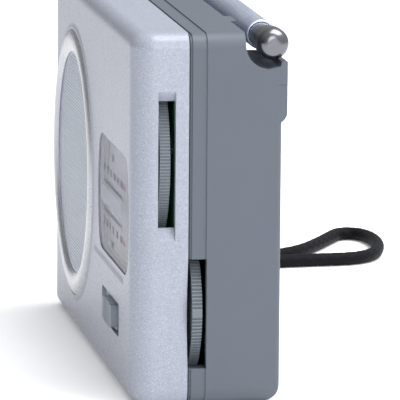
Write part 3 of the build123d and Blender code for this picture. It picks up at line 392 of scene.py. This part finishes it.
mats = {
    "silver": silver_paint(),
    "gray": surface("gray_moulding", G, 0.52, var=0.035, var_scale=70.0, bump_scale=4200.0, bump_s=0.16, bump_d=0.00003, bevel_r=0.00022, spec=0.50),
    "knob": surface("knob_moulding", lin((128, 136, 146)), 0.46, var=0.04, var_scale=240.0, bump_scale=3600.0, bump_s=0.10, bevel_r=0.00010, spec=0.45),
    "wheel": surface("wheel_moulding", lin((104, 112, 120)), 0.46, var=0.04, var_scale=240.0, bump_scale=3600.0, bump_s=0.10, bevel_r=0.00010, spec=0.45),
    "ring": brushed("spun_ring", lin((182, 184, 189)), 0.30, "none", 1400.0, metallic=0.55, bump_s=0.06),
    "grille": brushed("grille_sheet", lin((168, 174, 187)), 0.42, "none", 2600.0, metallic=0.45, bump_s=0.10),
    "lens": lens_mat(),
    "card": dial_card_mat(),
    "pointer": surface("pointer_plastic", lin((214, 92, 98)), 0.4, var=0.05, var_scale=500.0, bump_s=0.08),
    "gear": surface("acetal", lin((226, 222, 206)), 0.42, var=0.03, var_scale=400.0, bump_s=0.08),
    "screw": brushed("zinc_plate", lin((176, 176, 178)), 0.32, "none", 1800.0),
    "chrome": brushed("plated_tube", lin((200, 210, 232)), 0.27, "x", 1000.0, metallic=0.72, bump_s=0.05, stretch=60.0),
    # middle tube, inner tube and rod: the same plating as the outer tube, made darker as painted shade for the dark
    # rings at the tube ends
    "chrome_painted_shade": brushed("plated_tube_painted_shade", lin((122, 126, 134)), 0.24, "x", 1000.0, metallic=0.9, bump_s=0.05, stretch=60.0),
    "tip": brushed("plated_tip", lin((117, 118, 123)), 0.22, "turned_x", 1000.0, bump_s=0.16, stretch=12.0, bevel_r=0.00012),
    "board": board_mat(),
    "black": surface("black_moulding", (0.012, 0.012, 0.014), 0.45, var=0.2, bump_s=0.12),
    "milky": surface("milky_moulding", lin((214, 210, 194)), 0.38, var=0.04, bump_s=0.08),
    "can": brushed("tinned_can", lin((170, 171, 172)), 0.36, "z", 900.0),
    "ferrite": surface("ferrite", (0.022, 0.021, 0.021), 0.62, var=0.25, var_scale=900.0, bump_s=0.35, bump_d=0.00006),
    "copper": brushed("copper_winding", lin((190, 110, 66)), 0.34, "y", 1500.0, stretch=30.0, bump_s=0.5),
    "contact": brushed("nickel_spring", lin((196, 196, 192)), 0.28, "z", 1100.0),
    "cell": surface("cell_wrap", lin((38, 52, 82)), 0.28, var=0.08, var_scale=60.0, bump_s=0.05, coat=0.4),
    "cone": surface("paper_cone", (0.016, 0.016, 0.017), 0.86, var=0.25, var_scale=1500.0, bump_scale=2200.0, bump_s=0.6, bump_d=0.0001, sheen=0.2),
    "felt": surface("felt", (0.014, 0.014, 0.015), 0.92, var=0.3, var_scale=1800.0, bump_s=0.7, bump_d=0.0001, sheen=0.3),
    "braid": braid_mat(),
    "print_light": surface("scale_print_light", lin((200, 204, 216)), 0.5, var=0.02, bump_s=0.05, spec=0.15),
    "print_dark": surface("scale_print_dark", lin((98, 101, 115)), 0.5, var=0.04, bump_s=0.05, spec=0.2),
    "print_red": surface("scale_print_red", lin((172, 112, 124)), 0.5, var=0.04, bump_s=0.05, spec=0.2),
    "print_strip": surface("painted_strip", lin((134, 138, 155)), 0.45, var=0.03, bump_s=0.08, spec=0.2),
    "crimp": surface("crimp_plastic", (0.012, 0.012, 0.014), 0.38, var=0.2, bump_s=0.15, bevel_r=0.0002),
}
NODE_MAT = {
    "front_shell": "silver", "back_shell": "gray", "battery_door": "gray", "speaker_ring": "ring", "speaker_grille": "grille",
    "speaker_gasket": "felt", "speaker_frame": "can", "speaker_magnet": "ferrite", "speaker_cone": "cone", "dial_window": "lens",
    "dial_plate": "card", "idler_pin": "screw", "idler_gear": "gear", "pointer_rack": "pointer", "tuning_wheel": "wheel",
    "tuning_shaft": "screw", "tuning_screw": "screw", "tuning_capacitor": "milky", "volume_wheel": "wheel", "volume_screw": "screw",
    "volume_pot": "black", "switch_knob": "knob", "switch_body": "can", "circuit_board": "board", "board_screws": "screw",
    "tuner_chip": "black", "tuned_coils": "can", "electrolytics": "cell", "ferrite_rod": "ferrite", "ferrite_coil": "copper",
    "headphone_jack": "black", "aa_cell_lower": "cell", "aa_cell_upper": "cell", "battery_link": "contact",
    "battery_contacts": "contact", "battery_springs": "contact", "antenna_swivel": "chrome", "antenna_pin": "screw",
    "antenna_knuckle": "chrome", "antenna_tube_outer": "chrome", "antenna_tube_middle": "chrome_painted_shade", "antenna_tube_inner": "chrome_painted_shade",
    "antenna_rod": "chrome_painted_shade", "antenna_tip": "tip", "case_screws": "screw", "strap_ring": "contact", "strap_ferrule": "crimp",
    "strap_cord": "braid",
}
for node, key in NODE_MAT.items():
    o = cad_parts[node]
    if not o.material_slots:
        o.data.materials.append(mats[key])
    for s in o.material_slots:
        s.material = mats[key]
wrist_cord.data.materials.append(mats["braid"])


# ------------------------------------------------------------------ perforated grille sheet
def perforated_disc(name, cx, cz, y_front, thick, radius, hole_limit, pitch, hole_r):
    """A round sheet pierced by a fine hexagonal pattern of real holes."""
    g_lo = y_front
    g_hi = y_front + thick
    bmx = bmesh.new()
    cache = {}

    def vert(x, y_, z):
        d = math.hypot(x - cx, z - cz)
        if d > radius:
            x, z = cx + (x - cx) * radius / d, cz + (z - cz) * radius / d
        k = (round(x * 1e7), round(y_ * 1e7), round(z * 1e7))
        if k not in cache:
            cache[k] = bmx.verts.new((x, y_, z))
        return cache[k]

    row = pitch * math.sqrt(3) / 2
    hr = pitch / math.sqrt(3)
    n = int(radius / row) + 3

    def face(vs):
        out = []
        for v_ in vs:
            if v_ not in out:
                out.append(v_)
        if len(out) >= 3:
            try:
                bmx.faces.new(out)
            except ValueError:
                pass

    for j in range(-n, n + 1):
        for i in range(-n, n + 1):
            hx = cx + (i + (j % 2) * 0.5) * pitch
            hz = cz + j * row
            d = math.hypot(hx - cx, hz - cz)
            if d > radius + hr * 0.95:
                continue
            corner = [(hx + hr * math.cos(math.radians(30 + 60 * k)), hz + hr * math.sin(math.radians(30 + 60 * k))) for k in range(6)]
            if d < hole_limit:
                inner = [(hx + hole_r * math.cos(math.radians(30 + 60 * k)), hz + hole_r * math.sin(math.radians(30 + 60 * k))) for k in range(6)]
                for k in range(6):
                    a, b_ = corner[k], corner[(k + 1) % 6]
                    c, e = inner[k], inner[(k + 1) % 6]
                    face([vert(a[0], g_lo, a[1]), vert(b_[0], g_lo, b_[1]), vert(e[0], g_lo, e[1]), vert(c[0], g_lo, c[1])])
                    face([vert(b_[0], g_hi, b_[1]), vert(a[0], g_hi, a[1]), vert(c[0], g_hi, c[1]), vert(e[0], g_hi, e[1])])
                    face([vert(c[0], g_lo, c[1]), vert(e[0], g_lo, e[1]), vert(e[0], g_hi, e[1]), vert(c[0], g_hi, c[1])])
            else:
                face([vert(a[0], g_lo, a[1]) for a in corner])
                face([vert(a[0], g_hi, a[1]) for a in reversed(corner)])
    bmx.edges.ensure_lookup_table()
    rim = [e for e in bmx.edges if len(e.link_faces) == 1]
    lo_v = {}
    for e in rim:
        for v_ in e.verts:
            lo_v[(round(v_.co.x * 1e7), round(v_.co.z * 1e7))] = v_
    for e in [e for e in rim if all(abs(v_.co.y - g_lo) < 1e-9 for v_ in e.verts)]:
        a, b_ = e.verts
        ka = (round(a.co.x * 1e7), round(g_hi * 1e7), round(a.co.z * 1e7))
        kb = (round(b_.co.x * 1e7), round(g_hi * 1e7), round(b_.co.z * 1e7))
        if ka in cache and kb in cache:
            face([a, b_, cache[kb], cache[ka]])
    bmesh.ops.dissolve_degenerate(bmx, dist=1e-7, edges=bmx.edges[:])
    bmesh.ops.recalc_face_normals(bmx, faces=bmx.faces[:])
    mesh = bpy.data.meshes.new(name)
    bmx.to_mesh(mesh)
    bmx.free()
    o = bpy.data.objects.new(name, mesh)
    scene.collection.objects.link(o)
    return o


g0, g1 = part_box("speaker_grille")
grille = perforated_disc("grille_mesh", (g0[0] + g1[0]) / 2, (g0[2] + g1[2]) / 2, g0[1], g1[1] - g0[1],
                         (g1[0] - g0[0]) / 2 - 0.00002, 0.0222, 0.00074, 0.00022)
grille.data.materials.append(mats["grille"])
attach(grille, "case")
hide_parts("speaker_grille")

# ------------------------------------------------------------------ dial scale
LENS_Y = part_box("dial_window")[0][1]          # the lens carries the print on its face


def slab(bmx, x0, x1, z0, z1, y0, y1):
    """A thin block with a slightly smaller front face, like a layer of ink."""
    s_ = min(0.00003, (x1 - x0) * 0.2, (z1 - z0) * 0.2)
    vb = [bmx.verts.new(c) for c in ((x0, y1, z0), (x1, y1, z0), (x1, y1, z1), (x0, y1, z1))]
    vf = [bmx.verts.new(c) for c in ((x0 + s_, y0, z0 + s_), (x1 - s_, y0, z0 + s_), (x1 - s_, y0, z1 - s_), (x0 + s_, y0, z1 - s_))]
    bmx.faces.new(vf)
    bmx.faces.new(list(reversed(vb)))
    for k in range(4):
        bmx.faces.new((vb[k], vb[(k + 1) % 4], vf[(k + 1) % 4], vf[k]))


def printed(name, blocks, key, y0, y1):
    bmx = bmesh.new()
    for x0, x1, z0, z1 in blocks:
        slab(bmx, x0 / 1000.0, x1 / 1000.0, z0 / 1000.0, z1 / 1000.0, y0, y1)
    bmesh.ops.recalc_face_normals(bmx, faces=bmx.faces[:])
    mesh = bpy.data.meshes.new(name)
    bmx.to_mesh(mesh)
    bmx.free()
    o = bpy.data.objects.new(name, mesh)
    scene.collection.objects.link(o)
    o.data.materials.append(mats[key])
    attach(o, "case")
    return o


def numbers(name, items, size, key, y_face):
    """Plain scale figures as thin solid text."""
    bmx = bmesh.new()
    for text, x, z in items:
        fc = bpy.data.curves.new("figure", "FONT")
        fc.body = text
        fc.size = size
        fc.align_x = "CENTER"
        fc.align_y = "CENTER"
        fc.extrude = 0.000012
        fc.resolution_u = 3
        fo = bpy.data.objects.new("figure", fc)
        scene.collection.objects.link(fo)
        bpy.context.view_layer.update()
        fm_ = bpy.data.meshes.new_from_object(fo)
        fm_.transform(Matrix.Translation((x / 1000.0, y_face - 0.000012, z / 1000.0)) @ Matrix.Rotation(math.radians(90), 4, "X"))
        bmx.from_mesh(fm_)
        bpy.data.objects.remove(fo)
        bpy.data.meshes.remove(fm_)
    mesh = bpy.data.meshes.new(name)
    bmx.to_mesh(mesh)
    bmx.free()
    o = bpy.data.objects.new(name, mesh)
    scene.collection.objects.link(o)
    o.data.materials.append(mats[key])
    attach(o, "case")
    return o


printed("dial_light_band", [(12.0, 38.6, 33.6, 37.0)], "print_light", LENS_Y - 0.000015, LENS_Y - 0.000002)
mats["print_light"].node_tree.nodes["Principled BSDF"].inputs["Alpha"].default_value = 0.42
FM = [("88", 17.0), ("92", 21.4), ("96", 25.8), ("100", 30.2), ("104", 34.6), ("108", 39.2)]
AM = [("53", 17.0), ("60", 20.6), ("70", 24.4), ("90", 28.8), ("120", 33.8), ("160", 39.2)]
ticks = []
for k in range(31):
    x = 16.6 + 0.76 * k
    ticks.append((x - 0.07, x + 0.07, 37.9, 39.0 if k % 5 == 0 else 38.5))
    ticks.append((x - 0.07, x + 0.07, 31.6 if k % 5 == 0 else 32.1, 32.7))
ticks += [(14.6, 41.4, 37.74, 37.88), (14.6, 41.4, 32.72, 32.86)]
printed("dial_scale_lines", ticks, "print_dark", LENS_Y - 0.00003, LENS_Y)
numbers("dial_figures_fm", [(t, x, 40.7) for t, x in FM], 0.0022, "print_dark", LENS_Y)
numbers("dial_figures_am", [(t, x, 29.9) for t, x in AM], 0.0022, "print_dark", LENS_Y)
numbers("dial_unit_letters_red", [("MHz", 43.2, 40.7), ("kHz", 43.2, 29.9)], 0.0019, "print_red", LENS_Y)
numbers("dial_band_letters", [("FM", 28.2, 44.0), ("AM", 28.2, 26.8)], 0.0022, "print_dark", LENS_Y)
front_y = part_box("front_shell")[0][1]
printed("front_strip", [(4.6, 43.0, 21.75, 22.95)], "print_strip", DEPTH0 - 0.00003, DEPTH0 + 0.0001)

# ------------------------------------------------------------------ floor and light
WORLD_X, WORLD_Y, WORLD_Z, WORLD_0 = 0.14, 0.42, 0.60, 0.38
bm = bmesh.new()
bmesh.ops.create_grid(bm, x_segments=2, y_segments=2, size=4.0)
me = bpy.data.meshes.new("studio_floor")
bm.to_mesh(me)
bm.free()
floor = bpy.data.objects.new("studio_floor", me)
scene.collection.objects.link(floor)
fm, fnt, fb = new_mat("floor_white")
fn = noise(fnt, 3.0, 2.0)
link(fnt, ramp(fnt, fn, [(0.3, (0.93, 0.93, 0.93)), (0.7, (0.95, 0.95, 0.95))]), fb.inputs["Base Color"])
fb.inputs["Roughness"].default_value = 0.9
fb.inputs["Emission Color"].default_value = (1.0, 1.0, 1.0, 1.0)
fb.inputs["Emission Strength"].default_value = 0.12
floor.data.materials.append(fm)

world = bpy.data.worlds.new("studio")
scene.world = world
world.use_nodes = True
wt = world.node_tree
wbg = wt.nodes["Background"]
wco = wt.nodes.new("ShaderNodeTexCoord")
wsep = wt.nodes.new("ShaderNodeSeparateXYZ")
wt.links.new(wco.outputs["Generated"], wsep.inputs[0])


def wmath(op, a, b_):
    n = wt.nodes.new("ShaderNodeMath")
    n.operation = op
    for s_, v in zip(n.inputs, (a, b_)):
        if isinstance(v, (int, float)):
            s_.default_value = v
        else:
            wt.links.new(v, s_)
    return n.outputs[0]


# a soft dome: bright overhead and to the right, quiet in front of and to the left of the object
wx = wmath("MULTIPLY", wsep.outputs["X"], WORLD_X)
wy = wmath("MULTIPLY", wsep.outputs["Y"], WORLD_Y)
wz = wmath("MULTIPLY", wsep.outputs["Z"], WORLD_Z)
wsum = wmath("ADD", wmath("ADD", wx, wy), wmath("ADD", wz, WORLD_0))
wt.links.new(wmath("MAXIMUM", wsum, 0.05), wbg.inputs["Strength"])
wbg.inputs["Color"].default_value = (0.965, 0.98, 1.0, 1.0)


def area(name, loc, target, size, power, color=(1, 1, 1)):
    ld = bpy.data.lights.new(name, "AREA")
    ld.shape = "RECTANGLE"
    ld.size, ld.size_y = size
    ld.energy = power
    ld.color = color
    lo = bpy.data.objects.new(name, ld)
    scene.collection.objects.link(lo)
    lo.location = loc
    lo.rotation_euler = (Vector(target) - Vector(loc)).to_track_quat("-Z", "Y").to_euler()
    return lo


area("key_overhead", (0.15, 0.36, 0.95), (0, 0.05, 0.03), (0.9, 0.9), 13.2)
area("side_right", (1.05, -0.02, 0.42), (0.03, 0, 0.035), (0.5, 0.6), 3.7)
